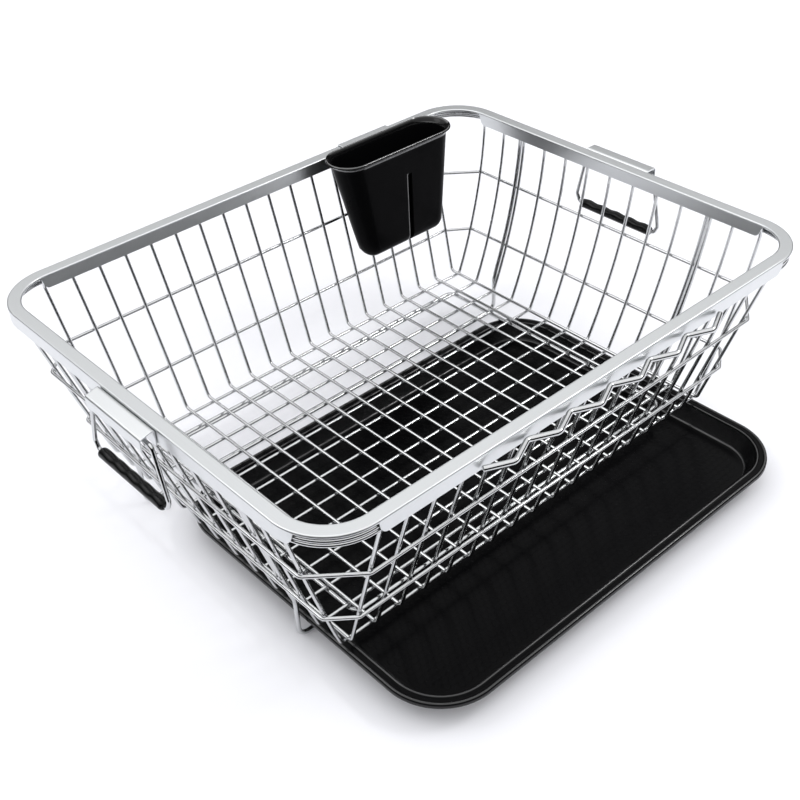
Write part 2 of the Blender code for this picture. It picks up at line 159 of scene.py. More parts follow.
def skin(points, lengths, widths, closed_u, closed_v, caps=True):
    """Faces and per-corner UVs of a grid of points, with an end face on an open tube."""
    rows, columns = points.shape[:2]
    index = np.arange(rows * columns).reshape(rows, columns)
    if closed_u:
        index = np.concatenate([index, index[:1]])
        lengths = np.append(lengths, 2 * lengths[-1] - lengths[-2])
    if closed_v:
        index = np.concatenate([index, index[:, :1]], 1)
        widths = np.append(widths, 2 * widths[-1] - widths[-2])
    quads = np.stack([index[:-1, :-1], index[:-1, 1:], index[1:, 1:], index[1:, :-1]], -1)
    u, v = np.meshgrid(lengths, widths, indexing="ij")
    uv = np.stack([u, v], -1)
    corners = np.stack([uv[:-1, :-1], uv[:-1, 1:], uv[1:, 1:], uv[1:, :-1]], 2)
    faces = quads.reshape(-1, 4).tolist()
    corner_uv = [corners.reshape(-1, 2)]
    if caps and closed_v and not closed_u:
        faces += [index[0, :-1][::-1].tolist(), index[-1, :-1].tolist()]
        corner_uv += [uv[0, :-1][::-1], uv[-1, :-1]]
    return faces, np.concatenate(corner_uv)


def add_piece(name, points, faces, uv, material, body, nodes=(), sharp=35):
    """Puts a surface into the scene as a piece that rides a body and stands for CAD nodes."""
    mesh = bpy.data.meshes.new(name)
    mesh.from_pydata(points.reshape(-1, 3), [], faces)
    layer = mesh.uv_layers.new(name="UVMap")
    layer.data.foreach_set("uv", np.ascontiguousarray(uv, np.float32).ravel())
    mesh.materials.append(material)
    mesh.shade_smooth()
    mesh.set_sharp_from_angle(angle=math.radians(sharp))
    piece = bpy.data.objects.new(name, mesh)
    bpy.context.scene.collection.objects.link(piece)
    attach(piece, body)
    if nodes:
        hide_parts(*nodes)
    return piece


def add_wire(name, path, diameter, across, body="basket", closed=False, sides=16):
    """One bent wire, drawn along its path, in place of the CAD node of almost the same name."""
    points, lengths, widths = drawn_wire(path, diameter, across, closed, sides)
    faces, uv = skin(points, lengths, widths, closed, True)
    return add_piece(name + "_drawn", points, faces, uv, polished_wire, body,
                     (name,))


# Stainless steel, drawn and electropolished: mirror-like along the wire, with faint die lines
# that stretch each highlight, and a slight unevenness in the polish. The lines are drawn 0.1 mm
# apart, coarser than real ones.
polished_wire = new_material("polished_drawn_stainless", Base_Color=srgb("#cfd0d1"),
                             Metallic=1.0, Roughness=0.12)
wire_uv = add_node(polished_wire, "ShaderNodeUVMap", {"uv_map": "UVMap"})
die_lines = add_node(polished_wire, "ShaderNodeMapping", {"Scale": (40, 9000, 1)},
                     {"Vector": (wire_uv, "UV")})
die_noise = add_node(polished_wire, "ShaderNodeTexNoise", {"Scale": 1.0, "Detail": 3.0},
                     {"Vector": (die_lines, "Vector")})
add_node(polished_wire, "ShaderNodeBump", {"Strength": 0.12, "Distance": 0.02 * MM},
         {"Height": (die_noise, "Fac")}, "Normal")
wire_place = add_node(polished_wire, "ShaderNodeTexCoord")
polish_noise = add_node(polished_wire, "ShaderNodeTexNoise", {"Scale": 120.0, "Detail": 2.0},
                        {"Vector": (wire_place, "Object")})
add_node(polished_wire, "ShaderNodeMapRange", {"To Min": 0.07, "To Max": 0.18},
         {"Value": (polish_noise, "Fac")}, "Roughness")


def cross_x(index, z, side=1):
    """Where a cross wire stands at a height of the back wall (side 1) or the front one (-1)."""
    pitch = mix(CROSS_FLOOR_PITCH, CROSS_TOP_PITCH[side], wall_height(z))
    return (index - (len(CROSS_NAMES) + 1) / 2) * pitch


for number, wire_name in enumerate(CROSS_NAMES, 1):
    foot_x = cross_x(number, FLOOR_Z)
    back_x, front_x = cross_x(number, WALL_TOP_Z), cross_x(number, WALL_TOP_Z, -1)
    corners = np.array([(back_x, WALL_Y[1], WIRE_END_Z), (back_x, WALL_Y[1], WALL_TOP_Z),
                        (foot_x, WALL_Y[0], CROSS_FLOOR_Z), (foot_x, -WALL_Y[0], CROSS_FLOOR_Z),
                        (front_x, -WALL_Y[1], WALL_TOP_Z), (front_x, -WALL_Y[1], WIRE_END_Z)])
    add_wire(wire_name, bent_path(corners + (0, BASKET_Y, 0), FLOOR_BEND), BASKET_WIRE, (1, 0, 0))


# ---- Long wires -------------------------------------------------------------------------------
# Thirteen wires of the same stock that run the length of the rack under the cross wires. Their
# ends are rolled outwards in a shallow bow, which gives the end walls their curve.

LONG_NAMES = [f"long_wire_{n:02d}" for n in range(1, 14)]
LONG_PITCH = (24.8 * MM, 26.6 * MM)
LONG_FLOOR_Z = 27.9 * MM
WALL_X = (208.2 * MM, 253.4 * MM)
END_BOW = {-1: 1.0 * MM, 1: 6.5 * MM}        # at the left and at the right end
BOW_STEPS = 14
BOW_LOW_Z = 42 * MM                          # the wall's curve ends here and the floor bend begins
FOOT_TUCK = 1.5 * MM                         # how far inside the wall's foot that bend turns


def wall_x(z, end):
    """Half length of the basket at a height: a straight lean plus a parabola for the bow."""
    t = wall_height(np.minimum(z, WALL_TOP_Z))
    return mix(*WALL_X, t) + 4 * END_BOW[end] * t * (1 - t)


def long_y(index, z):
    return ((len(LONG_NAMES) + 1) / 2 - index) * mix(*LONG_PITCH, wall_height(z))


def end_wall_run(end, y_of, inset, low):
    """Points down the left (-1) or right (1) end wall, from the wire's end to the height low."""
    z = np.concatenate([[WIRE_END_Z], np.linspace(WALL_TOP_Z, low, BOW_STEPS)])
    bowed = np.minimum(z, WALL_TOP_Z)
    return np.stack([end * (wall_x(z, end) - inset), y_of(bowed), z], 1)


for number, wire_name in enumerate(LONG_NAMES, 1):
    floor_y = long_y(number, FLOOR_Z)
    halves = []
    for end in (1, -1):
        run = end_wall_run(end, lambda z: long_y(number, z), 0.0, BOW_LOW_Z)
        foot = (end * (WALL_X[0] - FOOT_TUCK), floor_y, LONG_FLOOR_Z)
        bend = bent_path([run[-1], foot, (0, floor_y, LONG_FLOOR_Z)], FLOOR_BEND)[1:-1]
        halves.append(np.concatenate([run, bend]))
    path = np.concatenate([halves[0], halves[1][::-1]]) + (0, BASKET_Y, 0)
    add_wire(wire_name, path, BASKET_WIRE, (0, 1, 0))


# ---- Hoop wires -------------------------------------------------------------------------------
# Two closed hoops butt-welded into rings and spot-welded to the outside of the walls. At each
# corner they run straight from the last wire of one wall to the first of the next.

HOOP_MARGIN = 2 * MM

for hoop_name in ("hoop_wire_upper", "hoop_wire_lower"):
    low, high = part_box(hoop_name)
    z = (low.z + high.z) / 2
    left, right = low.x + BASKET_WIRE / 2, high.x - BASKET_WIRE / 2
    wide, last_y = high.y - BASKET_Y - BASKET_WIRE / 2, long_y(1, z) + HOOP_MARGIN
    back_x = cross_x(len(CROSS_NAMES), z) + HOOP_MARGIN
    front_x = cross_x(len(CROSS_NAMES), z, -1) + HOOP_MARGIN
    corners = np.array([(right, -last_y, z), (right, last_y, z), (back_x, wide, z),
                        (-back_x, wide, z), (left, last_y, z), (left, -last_y, z),
                        (-front_x, -wide, z), (front_x, -wide, z)]) + (0, BASKET_Y, 0)
    add_wire(hoop_name, bent_path(corners, FLOOR_BEND, True), BASKET_WIRE, (0, 0, 1), closed=True)


# ---- Foot wires, floor frame ------------------------------------------------------------------
# Two thicker wires come down the end walls beside the third wire from each side, drop to the
# table and run along it as the runners that the tray slides on. A closed rectangle of the same
# wire is welded under the floor to stiffen it.

FOOT_WIRE = 4 * MM
FOOT_PITCHES, FOOT_SIDE_GAP = 4, 4.3 * MM    # beside the wire that is four from the middle
FOOT_INSET = 0.7 * MM
LEG_X, LEG_TOP_Z, FOOT_LOW_Z = 211.5 * MM, 38 * MM, 48 * MM
FOOT_BEND, FRAME_BEND = 9 * MM, 8 * MM

for foot_name, sign in (("foot_wire_front", -1), ("foot_wire_back", 1)):
    def beside(z, sign=sign):
        return sign * (FOOT_PITCHES * mix(*LONG_PITCH, wall_height(z)) + FOOT_SIDE_GAP)

    leg_y = beside(FLOOR_Z)
    halves = []
    for end in (1, -1):
        run = end_wall_run(end, beside, FOOT_INSET, FOOT_LOW_Z)
        leg = [run[-1], (end * LEG_X, leg_y, LEG_TOP_Z), (end * LEG_X, leg_y, FOOT_WIRE / 2),
               (0, leg_y, FOOT_WIRE / 2)]
        halves.append(np.concatenate([run, bent_path(leg, FOOT_BEND)[1:-1]]))
    path = np.concatenate([halves[0], halves[1][::-1]]) + (0, BASKET_Y, 0)
    add_wire(foot_name, path, FOOT_WIRE, (0, 1, 0))

low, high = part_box("floor_frame_ring")
frame_x, frame_y = high.x - FOOT_WIRE / 2, high.y - BASKET_Y - FOOT_WIRE / 2
corners = np.array([(frame_x, -frame_y, 0), (frame_x, frame_y, 0), (-frame_x, frame_y, 0),
                    (-frame_x, -frame_y, 0)]) + (0, BASKET_Y, (low.z + high.z) / 2)
add_wire("floor_frame_ring", bent_path(corners, FRAME_BEND, True), FOOT_WIRE, (0, 0, 1),
         closed=True)


# ---- Folded rim -------------------------------------------------------------------------------
# A strip of satin stainless sheet folded down over the wire ends on both sides. The top is one
# piece all round; the side flanges stop near the corners, where their ends are trimmed round.

RIM_SHEET = 0.8 * MM
RIM_FOLD = 1.2 * MM
RIM_CORNER = 47 * MM
RIM_BAND = 11.2 * MM
RIM_DEPTH = rim_high.z - rim_low.z
FLANGE_ROUND = 7 * MM
FOLD_DEPTH = 1.8 * MM                        # how far the sheet comes down where it has no flange
FLAT_START = 0.4 * MM                        # a row just past each fold keeps the flats flat
RIM_HALF = np.array([(rim_high.x - rim_low.x) / 2, (rim_high.y - rim_low.y) / 2])
# how far each flange runs on past the start of the corner, at the ends of the end faces and of
# the long faces
OUTER_PAST = (18 * MM, 0.0)
INNER_PAST = (4 * MM, 5 * MM)


def rounded_outline(half_size, radius, arc_steps, fine, fine_reach):
    """Round a rectangle with round corners, anticlockwise from the front right corner's start.

    Returns for each station its corner centre, its outward direction, the distance along, how
    far it lies into its corner from either end (negative on a straight, from the corners behind
    and ahead), and whether its corner comes to an end face (0) or leaves one (1).
    """
    centre, outward, past, face = [], [], [], []
    signs = [(1, -1), (1, 1), (-1, 1), (-1, -1)]
    for k, sign in enumerate(signs):
        here = np.array(sign) * (half_size - radius)
        there = np.array(signs[(k + 1) % 4]) * (half_size - radius)
        angle = (k - 1) * np.pi / 2 + np.linspace(0, np.pi / 2, arc_steps)
        centre.append(np.repeat(here[None], arc_steps, 0))
        outward.append(np.stack([np.cos(angle), np.sin(angle)], 1))
        arc = radius * np.linspace(0, np.pi / 2, arc_steps)
        past.append(np.stack([arc, arc[::-1]], 1))
        face.append(np.full(arc_steps, k % 2))
        run = np.linalg.norm(there - here)
        near = np.arange(fine, fine_reach, fine)
        far = np.linspace(fine_reach, run - fine_reach, 8)
        t = np.concatenate([near, far, (run - near)[::-1]])
        centre.append(here + (there - here) * (t / run)[:, None])
        outward.append(np.repeat(outward[-1][-1:], len(t), 0))
        past.append(np.stack([-t, -(run - t)], 1))
        face.append(np.full(len(t), k % 2))
    centre, outward = np.concatenate(centre), np.concatenate(outward)
    edge = centre + outward * radius
    step = np.linalg.norm(np.diff(edge, axis=0, append=edge[:1]), axis=1)
    along = np.concatenate([[0], np.cumsum(step)[:-1]])
    return centre, outward, along, np.concatenate(past), np.concatenate(face)


def carry_round(centre, outward, radius, inset, z, middle):
    """Every profile point (inset, z) set in from the outline at every station of it."""
    flat = centre[:, None] + outward[:, None] * (radius - inset)[..., None]
    z = np.broadcast_to(z, flat.shape[:2])
    return np.concatenate([flat + middle[:2], z[..., None] + middle[2]], 2)


RIM_ARC_STEPS, RIM_FINE, RIM_FINE_REACH = 41, 0.8 * MM, 12 * MM
centre, outward, along, past, face = rounded_outline(RIM_HALF, RIM_CORNER, RIM_ARC_STEPS, RIM_FINE,
                                                     RIM_FINE_REACH)


def flange_cut(distance, reach):
    """Depth near a flange's end: a quarter ellipse that falls to the bare fold."""
    over = np.clip((distance - reach + FLANGE_ROUND) / FLANGE_ROUND, 0, 1)
    return FOLD_DEPTH + (RIM_DEPTH - FOLD_DEPTH) * np.sqrt(1 - over ** 2)


def flange_depth(reach_end_face, reach_long_face):
    """Depth of a flange at every station; each reach is how far it runs on round the corner."""
    half_arc = RIM_CORNER * np.pi / 4
    near_end = np.where(face == 0, past[:, 1], past[:, 0])
    near_long = np.where(face == 0, past[:, 0], past[:, 1])
    straight = past.max(1) < 0
    depth = np.full(len(past), RIM_DEPTH)
    for reach, distance in ((reach_end_face, near_end), (reach_long_face, near_long)):
        cut = np.minimum(depth, flange_cut(distance, reach))
        depth = np.where(~straight & (distance <= half_arc), cut, depth)
    along_end = np.abs(outward[:, 0]) > np.abs(outward[:, 1])
    for reach, mine in ((reach_end_face, along_end), (reach_long_face, ~along_end)):
        cut = np.minimum(depth, flange_cut(past.max(1), reach))
        depth = np.where(straight & mine, cut, depth)
    return depth


def outward_faces(points, faces, uv):
    """The same faces turned over if the closed surface encloses a negative volume."""
    flat = points.reshape(-1, 3) - points.reshape(-1, 3).mean(0)
    quads = np.array([f for f in faces if len(f) == 4])
    a, b, c, d = (flat[quads[:, k]] for k in range(4))
    volume = (a * np.cross(b, c)).sum() + (a * np.cross(c, d)).sum()
    if volume >= 0:
        return faces, uv
    starts = np.concatenate([[0], np.cumsum([len(f) for f in faces])])
    uv = np.concatenate([uv[s:e][::-1] for s, e in zip(starts[:-1], starts[1:])])
    return [f[::-1] for f in faces], uv


# Satin stainless sheet, ground with a belt along the strip: pale and soft, with hair-fine
# scratches that run along the rim. Real ones are under 0.05 mm apart; these are drawn at 0.2 mm.
satin_sheet = new_material("satin_belt_ground_stainless", Base_Color=srgb("#dcdedf"),
                           Metallic=1.0, Roughness=0.3)
sheet_uv = add_node(satin_sheet, "ShaderNodeUVMap", {"uv_map": "UVMap"})
grind = add_node(satin_sheet, "ShaderNodeMapping", {"Scale": (150, 5000, 1)},
                 {"Vector": (sheet_uv, "UV")})
grind_noise = add_node(satin_sheet, "ShaderNodeTexNoise", {"Scale": 1.0, "Detail": 4.0},
                       {"Vector": (grind, "Vector")})
add_node(satin_sheet, "ShaderNodeBump", {"Strength": 0.25, "Distance": 0.03 * MM},
         {"Height": (grind_noise, "Fac")}, "Normal")
add_node(satin_sheet, "ShaderNodeMapRange", {"To Min": 0.24, "To Max": 0.42},
         {"Value": (grind_noise, "Fac")}, "Roughness")

outer_depth = flange_depth(*OUTER_PAST)
inner_depth = flange_depth(*INNER_PAST)
FOLD_STEPS = 6
turn = np.linspace(0, np.pi / 2, FOLD_STEPS)
fold_in, fold_down = RIM_FOLD * (1 - np.cos(turn)), RIM_FOLD * (1 - np.sin(turn))
inside = RIM_FOLD - RIM_SHEET
under_in, under_down = RIM_FOLD - inside * np.cos(turn), RIM_FOLD - inside * np.sin(turn)
half_inset = np.concatenate([[0, 0], fold_in, [RIM_FOLD + FLAT_START]])
half_drop = np.concatenate([[1, RIM_FOLD + FLAT_START], fold_down, [0]])
under_inset = np.concatenate([[RIM_SHEET], under_in])
under_drop = np.concatenate([[1], under_down])
inset = np.concatenate([half_inset, (RIM_BAND - half_inset)[::-1], RIM_BAND - under_inset,
                        under_inset[::-1]])
drop = np.concatenate([half_drop, half_drop[::-1], under_drop, under_drop[::-1]])
drop = np.repeat(drop[None], len(along), 0)
outer_end = [0, -1]
inner_end = [2 * len(half_inset) - 1, 2 * len(half_inset)]
drop[:, outer_end] = outer_depth[:, None]
drop[:, inner_end] = inner_depth[:, None]
rim_points = carry_round(centre, outward, RIM_CORNER, np.repeat(inset[None], len(along), 0),
                         rim_high.z - drop, (0, BASKET_Y, 0))
girth = np.concatenate([[0], np.cumsum(np.hypot(np.diff(inset), np.diff(drop[0])))])
faces, uv = outward_faces(rim_points, *skin(rim_points, along, girth, True, True))
add_piece("rim_channel_folded", rim_points, faces, uv, satin_sheet, "basket",
          ("rim_channel",))


# ---- Rim wires --------------------------------------------------------------------------------
# Three rings of wire stacked inside the rim, outside the wire ends. They show as a ribbed band at
# the corners, where the flanges stop.

RIM_WIRE = 3.2 * MM

for ring_name in ("rim_wire_upper", "rim_wire_middle", "rim_wire_lower"):
    low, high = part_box(ring_name)
    inset_from_rim = rim_high.x - high.x + RIM_WIRE / 2
    ring = centre + outward * (RIM_CORNER - inset_from_rim)
    path = np.column_stack([ring, np.full(len(ring), (low.z + high.z) / 2)]) + (0, BASKET_Y, 0)
    add_wire(ring_name, path, RIM_WIRE, (0, 0, 1), closed=True)


# ---- Plate rest -------------------------------------------------------------------------------
# A thick wire bent to and fro in a shallow zigzag and welded by its inner bends to the front
# face of the rim.

REST_WIRE = 4.5 * MM
REST_TEETH, REST_STEP = 6, 21.25 * MM
REST_BEND = 6 * MM
REST_OUTER_Y, REST_INNER_Y = -218.3 * MM, -208.6 * MM

low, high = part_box("plate_rest_wire")
count = 2 * REST_TEETH + 1
rest_z = (low.z + high.z) / 2
rest_x = (np.arange(count) - REST_TEETH) * REST_STEP
rest_y = np.where(np.arange(count) % 2, REST_OUTER_Y, REST_INNER_Y) + BASKET_Y
corners = np.stack([rest_x, rest_y, np.full(count, rest_z)], 1)
add_wire("plate_rest_wire", bent_path(corners, REST_BEND, steps=12), REST_WIRE, (0, 0, 1))


# ---- Handle brackets --------------------------------------------------------------------------
# A short strip of the satin sheet folded into a hood over the pivot of each handle: one leg lies
# on the rim's end face, the top slopes outwards, and a lip hangs down in front of the pivot.

BRACKET_SHEET = 1.0 * MM
BRACKET_FOLD = 1.8 * MM
BRACKET_EDGE_Z = {-1: 184.2 * MM, 1: 187.3 * MM}     # where the top meets the lip, left and right
BRACKET_LIP_Z = 175.5 * MM
CUT_EASE, CUT_FLAT, CUT_SHARE = 0.2 * MM, 0.7 * MM, 0.75     # how a strip's cut ends are eased


def guard_rows(line, keep):
    """Adds a point just inside both ends of every long run, so that the run shades flat."""
    step = np.diff(line, axis=0)
    length = np.linalg.norm(step, axis=1)
    unit = step / length[:, None]
    rows = [line[:1]]
    for start, stop, way, is_long in zip(line[:-1], line[1:], unit, length > 4 * keep):
        if is_long:
            rows.append(np.stack([start + way * keep, stop - way * keep]))
        rows.append(stop[None])
    return np.concatenate(rows)


def folded_strip(profile, fold, sheet, start, stop, axis_order):
    """A strip of sheet with rounded folds: its middle line is offset half the sheet each way.

    The strip runs from start to stop, with its cut ends a little thinner, like a broken edge.
    """
    profile = np.asarray(profile, float)
    line = bent_path(np.column_stack([profile, np.zeros(len(profile))]), fold, steps=7)[:, :2]
    line = guard_rows(line, FLAT_START)
    tangent = np.gradient(line, axis=0)
    tangent /= np.linalg.norm(tangent, axis=1, keepdims=True)
    normal = np.stack([-tangent[:, 1], tangent[:, 0]], 1) * sheet / 2
    section = np.concatenate([line + normal, (line - normal)[::-1]])
    stations = np.array([start, start + CUT_EASE, start + CUT_FLAT,
                         stop - CUT_FLAT, stop - CUT_EASE, stop])
    shrink = np.array([CUT_SHARE, 1, 1, 1, 1, CUT_SHARE])[:, None, None]
    middle = np.concatenate([line, line[::-1]])
    ring = middle + (section - middle) * shrink
    along_strip = np.broadcast_to(stations[:, None, None], ring.shape[:2] + (1,))
    points = np.concatenate([ring, along_strip], 2)[:, :, axis_order]
    girth = np.concatenate([[0], np.cumsum(np.linalg.norm(np.diff(section, axis=0), axis=1))])
    return points, stations, girth


for side_name, sign in (("left", -1), ("right", 1)):
    low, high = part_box("handle_bracket_" + side_name)
    near, far = (high.x, low.x) if sign < 0 else (low.x, high.x)
    half_sheet = BRACKET_SHEET / 2
    near, far = near + sign * half_sheet, far - sign * half_sheet
    profile = [(near, low.z), (near, high.z - half_sheet), (far, BRACKET_EDGE_Z[sign]),
               (far, BRACKET_LIP_Z)]
    points, lengths, widths = folded_strip(profile, BRACKET_FOLD, BRACKET_SHEET, low.y, high.y,
                                           [0, 2, 1])
    faces, uv = outward_faces(points, *skin(points, lengths, widths, False, True))
    add_piece("handle_bracket_" + side_name + "_folded", points, faces, uv, satin_sheet, "basket",
              ("handle_bracket_" + side_name,))


# ---- Bails and grips --------------------------------------------------------------------------
# Each handle is a wire bent into a frame whose ends turn in under the bracket. Its bar carries a
# moulded black sleeve with finger humps on the side that faces the pivot.

BAIL_WIRE = 3.5 * MM
BAIL_BEND = 4 * MM
BAIL_END, BAIL_SHOULDER = 20 * MM, 38.5 * MM
BAIL_ELBOW, BAIL_FOOT = (48 * MM, 44 * MM), (44.5 * MM, 51.5 * MM)
PIVOT_Z = 179 * MM
GRIP_LENGTH, GRIP_RADIUS, GRIP_HUMPS = 82 * MM, 4.5 * MM, 5
GRIP_HUMP, HUMP_MIDDLE, HUMP_SPREAD = 1.0 * MM, 0.6, 1.5     # height, part cut in, fall-off
GRIP_END, GRIP_END_NARROW = 2.5 * MM, 0.35   # length of the rounded ends, and how much they lose
GRIP_ROWS, GRIP_SIDES = 101, 32

# Black polypropylene sleeve, moulded with a fine spark-eroded texture about 0.5 mm across: nearly
# black, with soft streaks of light along the humps.
black_sleeve = new_material("moulded_black_sleeve", Base_Color=srgb("#09090a"),
                            Roughness=0.26, Specular_IOR_Level=0.22)
sleeve_place = add_node(black_sleeve, "ShaderNodeTexCoord")
sleeve_grain = add_node(black_sleeve, "ShaderNodeTexNoise", {"Scale": 2200.0, "Detail": 2.0},
                        {"Vector": (sleeve_place, "Object")})
add_node(black_sleeve, "ShaderNodeBump", {"Strength": 0.2, "Distance": 0.05 * MM},
         {"Height": (sleeve_grain, "Fac")}, "Normal")

for side_name, sign in (("left", -1), ("right", 1)):
    body = "handle_" + side_name
    low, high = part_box("handle_bail_" + side_name)
    pivot_x = (low.x + high.x) / 2
    half = np.array([(pivot_x, BAIL_END, PIVOT_Z), (pivot_x, BAIL_SHOULDER, PIVOT_Z),
                     (pivot_x, BAIL_ELBOW[0], PIVOT_Z - BAIL_ELBOW[1]),
                     (pivot_x, BAIL_FOOT[0], PIVOT_Z - BAIL_FOOT[1])])
    corners = np.concatenate([half, half[::-1] * (1, -1, 1)]) + (0, BASKET_Y, 0)
    add_wire("handle_bail_" + side_name, bent_path(corners, BAIL_BEND), BAIL_WIRE, (1, 0, 0),
             body=body)

    t = np.linspace(0, 1, GRIP_ROWS)
    angle = np.linspace(0, 2 * np.pi, GRIP_SIDES, endpoint=False)
    ends = np.minimum(t, 1 - t) * GRIP_LENGTH
    end_round = np.sqrt(1 - (1 - np.clip(ends / GRIP_END, 0, 1)) ** 2)
    end_round = 1 - GRIP_END_NARROW * (1 - end_round)
    hump = 0.5 - 0.5 * np.cos(2 * np.pi * GRIP_HUMPS * t)
    facing = np.clip(np.sin(angle), 0, 1) ** HUMP_SPREAD
    radius = (GRIP_RADIUS + GRIP_HUMP * (hump[:, None] - HUMP_MIDDLE) * facing) * end_round[:, None]
    sleeve = np.stack([pivot_x + radius * np.cos(angle),
                       np.broadcast_to((BASKET_Y + (t - 0.5) * GRIP_LENGTH)[:, None],
                                       radius.shape),
                       PIVOT_Z - BAIL_FOOT[1] + radius * np.sin(angle)], 2)
    faces, uv = outward_faces(sleeve, *skin(sleeve, t * GRIP_LENGTH, angle * GRIP_RADIUS,
                                            False, True))
    add_piece("handle_grip_" + side_name + "_moulded", sleeve, faces, uv, black_sleeve, body,
              ("handle_grip_" + side_name,))


# ---- Cutlery cup ------------------------------------------------------------------------------
# An injection-moulded black cup with a long oval mouth, a turned-out lip, a wall that leans in
# to follow the basket, a rounded foot, and a drain slot cut up its front.

CUP_LIP = np.array([62.5, 205.5, 146, 190.5]) * MM      # x from, x to, y from, y to
CUP_MOUTH = np.array([67.5, 200.5, 148.3, 188.3]) * MM
CUP_FOOT = np.array([88, 186, 146.3, 170.5]) * MM
CUP_WALL = 1.6 * MM
CUP_ROUND = 10 * MM
CUP_SLOT = np.array([137.8, 143.2]) * MM
CUP_SLOT_TOP = 166 * MM
CUP_FLARE_Z = 190 * MM
CUP_GLOSS_FROM, CUP_GLOSS_FULL = 187 * MM, 195 * MM          # heights between which it changes
GLINT_NEAR, GLINT_FAR = 0.6 * MM, 1.2 * MM   # the slot's burnished edge fades between these
FRONT_DEPTH, HAIR = 3 * MM, 0.01 * MM
cup_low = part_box("cutlery_cup")[0]

# Black polypropylene. The lip is polished in the mould and carries thin bright lines; the wall
# is spark-eroded, so it swallows nearly all the light.
black_cup = new_material("moulded_black_cup", Base_Color=srgb("#070708"),
                         Coat_Roughness=0.12, Coat_IOR=1.8)
cup_place = add_node(black_cup, "ShaderNodeTexCoord")
cup_grain = add_node(black_cup, "ShaderNodeTexNoise", {"Scale": 1600.0, "Detail": 3.0},
                     {"Vector": (cup_place, "Object")})
add_node(black_cup, "ShaderNodeBump", {"Strength": 0.15, "Distance": 0.05 * MM},
         {"Height": (cup_grain, "Fac")}, "Normal")
cup_flow = add_node(black_cup, "ShaderNodeTexNoise", {"Scale": 25.0, "Detail": 2.0},
                    {"Vector": (cup_place, "Object")})
cup_split = add_node(black_cup, "ShaderNodeSeparateXYZ", None, {"Vector": (cup_place, "Object")})
cup_level = add_node(black_cup, "ShaderNodeMapRange",
                     {"From Min": CUP_GLOSS_FROM, "From Max": CUP_GLOSS_FULL},
                     {"Value": (cup_split, "Z")})
cup_shine = add_node(black_cup, "ShaderNodeValToRGB", None, {"Fac": (cup_level, "Result")})
# (share of the way up to the crest, shine): the mouth's edge and the lip's crest are burnished
for place, shine in ((0.0, 0.02), (0.26, 0.04), (0.33, 1.0), (0.42, 0.9), (0.52, 0.16),
                     (0.86, 0.20), (0.96, 1.0)):
    stop = cup_shine.color_ramp.elements.new(place)
    stop.color = (shine, shine, shine, 1)
cup_shine.color_ramp.elements.remove(cup_shine.color_ramp.elements[0])
slot_side = add_node(black_cup, "ShaderNodeMath", {"operation": "SUBTRACT", 1: CUP_SLOT[0]},
                     {0: (cup_split, "X")})
slot_away = add_node(black_cup, "ShaderNodeMath", {"operation": "ABSOLUTE"},
                     {0: (slot_side, "Value")})
slot_edge = add_node(black_cup, "ShaderNodeMapRange",
                     {"From Min": GLINT_NEAR, "From Max": GLINT_FAR, "To Min": 1.0, "To Max": 0.0},
                     {"Value": (slot_away, "Value")})
slot_height = add_node(black_cup, "ShaderNodeMapRange",
                       {"From Min": CUP_SLOT_TOP, "From Max": CUP_SLOT_TOP + 1 * MM,
                        "To Min": 1.0, "To Max": 0.0}, {"Value": (cup_split, "Z")})
slot_glint = add_node(black_cup, "ShaderNodeMath", {"operation": "MULTIPLY"},
                      {0: (slot_edge, "Result"), 1: (slot_height, "Result")})
cup_polish = add_node(black_cup, "ShaderNodeMath", {"operation": "MAXIMUM"},
                      {0: (cup_shine, "Color"), 1: (slot_glint, "Value")}, "Specular IOR Level")
add_node(black_cup, "ShaderNodeMath", {"operation": "MULTIPLY", 1: 0.8},
         {0: (cup_polish, "Value")}, "Coat Weight")
lip_gloss = add_node(black_cup, "ShaderNodeMapRange", {"To Min": 0.24, "To Max": 0.08},
                     {"Value": (cup_shine, "Color")})
add_node(black_cup, "ShaderNodeMath", {"operation": "MULTIPLY_ADD", 1: 0.12},
         {0: (cup_flow, "Fac"), 2: (lip_gloss, "Result")}, "Roughness")


def oval(box, inset):
    """Stations round a long oval: two half circles joined by straight runs, slot edges included.

    box is (x from, x to, y from, y to) for every row, and inset shrinks it evenly.
    """
    x0, x1 = box[:, 0] + inset, box[:, 1] - inset
    y0, y1 = box[:, 2] + inset, box[:, 3] - inset
    radius, middle = (y1 - y0) / 2, (y0 + y1) / 2
    turn = np.linspace(-np.pi / 2, np.pi / 2, 25)
    right = np.stack([(x1 - radius)[:, None] + radius[:, None] * np.cos(turn),
                      middle[:, None] + radius[:, None] * np.sin(turn)], 2)
    left = np.stack([(x0 + radius)[:, None] - radius[:, None] * np.cos(turn),
                     middle[:, None] - radius[:, None] * np.sin(turn)], 2)
    share = np.linspace(0, 1, 14)[1:-1]
    back = right[:, -1:] + (left[:, :1] - right[:, -1:]) * share[:, None]
    front_x = np.concatenate([np.linspace(left[0, -1, 0], CUP_SLOT[0], 7)[1:], CUP_SLOT[1:],
                              np.linspace(CUP_SLOT[1], right[0, 0, 0], 5)[1:-1]])
    t = (front_x - left[0, -1, 0]) / (right[0, 0, 0] - left[0, -1, 0])
    straight = left[:, -1:] + (right[:, :1] - left[:, -1:]) * t[:, None]
    straight[..., 0] = np.where((np.abs(front_x - CUP_SLOT.mean()) < FRONT_DEPTH)[None],
                                front_x[None], straight[..., 0])
    return np.concatenate([right, back, left, straight], 1)


def cup_body(z):
    t = ((CUP_FLARE_Z - z) / (CUP_FLARE_Z - cup_low.z))[:, None]
    return mix(CUP_MOUTH, CUP_FOOT, t)


